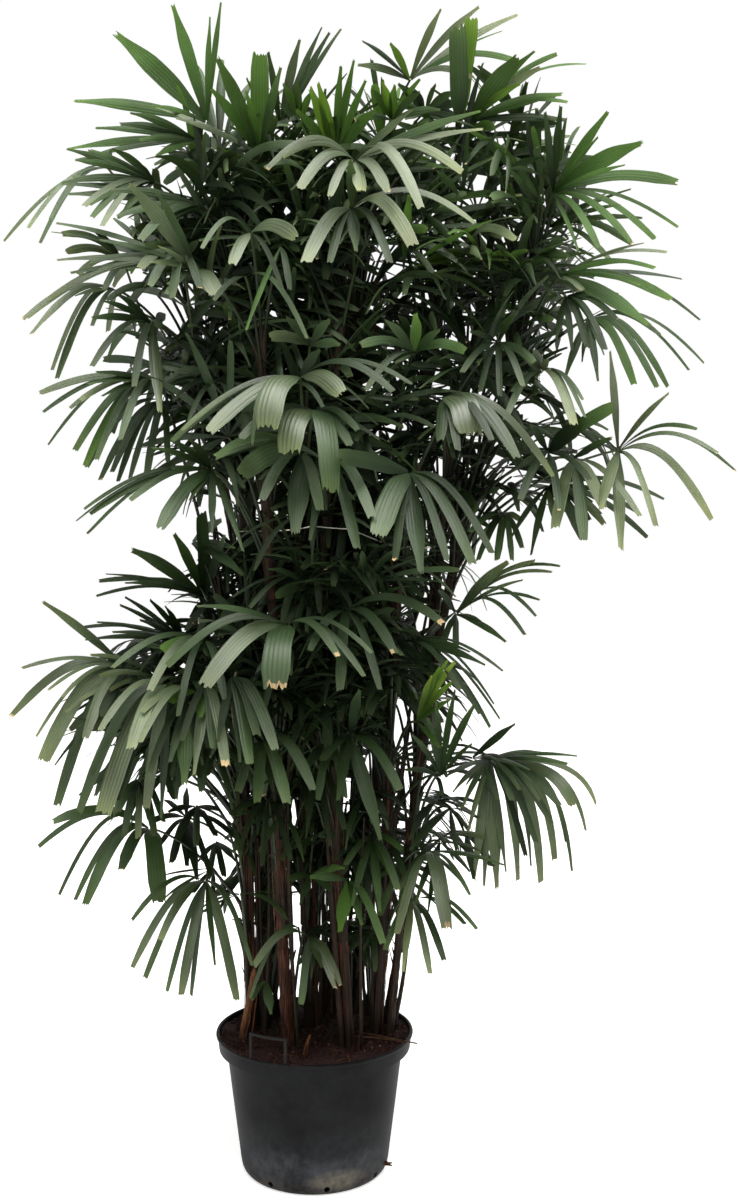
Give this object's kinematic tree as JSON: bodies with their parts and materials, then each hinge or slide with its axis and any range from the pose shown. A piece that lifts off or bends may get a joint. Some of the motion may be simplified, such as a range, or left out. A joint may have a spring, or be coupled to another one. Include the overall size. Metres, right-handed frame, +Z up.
{
  "type": "potted lady palm",
  "caption": "Clump of slender upright canes with fan-shaped fronds on thin stalks, growing from soil in a round tapered nursery pot with a lifting handle.",
  "frame": {"origin": "centre of the pot's flat underside, on the floor", "axes": "+Z up along the height of the plant, -Y toward the front as pictured, +X to the right of the front view"},
  "size_m": [1.6557, 1.2282, 2.6753],
  "materials": {
    "pot": "matte black nursery plastic, dusty toward the base",
    "soil": "moist dark potting soil",
    "cane": "brown fibrous sheathed cane",
    "frond": "leathery green leaf, satin",
    "mass": "dense green foliage"
  },
  "bodies": {
    "root": {"pot": "pot", "pot_handle": "pot", "soil": "soil", "cane_left_outer": "cane", "cane_left_front": "cane", "cane_left_rear": "cane", "cane_mid_left": "cane", "cane_mid_front": "cane", "cane_mid_rear": "cane", "cane_right_front": "cane", "cane_right_rear": "cane", "cane_right_lean": "cane", "cane_far_right": "cane", "cane_rear_left": "cane", "cane_rear_mid": "cane", "cane_rear_right": "cane", "young_shoot": "cane", "mass_top_left": "mass", "mass_top_middle": "mass", "mass_top_right": "mass", "mass_left": "mass", "mass_middle_left": "mass", "mass_middle": "mass", "mass_middle_right": "mass", "mass_right": "mass", "mass_low_left": "mass", "mass_low_right": "mass", "frond_top_left": "frond", "frond_top_left_inner": "frond", "frond_top": "frond", "frond_top_right": "frond", "frond_right_upper": "frond", "frond_right_mid_upper": "frond", "frond_right_mid": "frond", "frond_right_outer": "frond", "frond_right_low": "frond", "frond_right_lower": "frond", "frond_right_bend": "frond", "frond_low_right": "frond", "frond_low_left_front": "frond", "frond_low_left": "frond", "frond_left_lower": "frond", "frond_left_lower_front": "frond", "frond_front_arching": "frond", "frond_front_upper_left": "frond", "frond_front_middle": "frond", "frond_front_right": "frond", "frond_front_top": "frond", "frond_front_top_left": "frond", "frond_left_upper": "frond", "frond_left_top_outer": "frond", "frond_left_middle": "frond", "frond_left_low_middle": "frond", "frond_left_low": "frond", "frond_over_pot": "frond", "frond_rear_top": "frond", "frond_rear_left": "frond", "frond_rear_right": "frond", "frond_rear_middle": "frond", "frond_rear_low": "frond"}
  },
  "joints": []
}
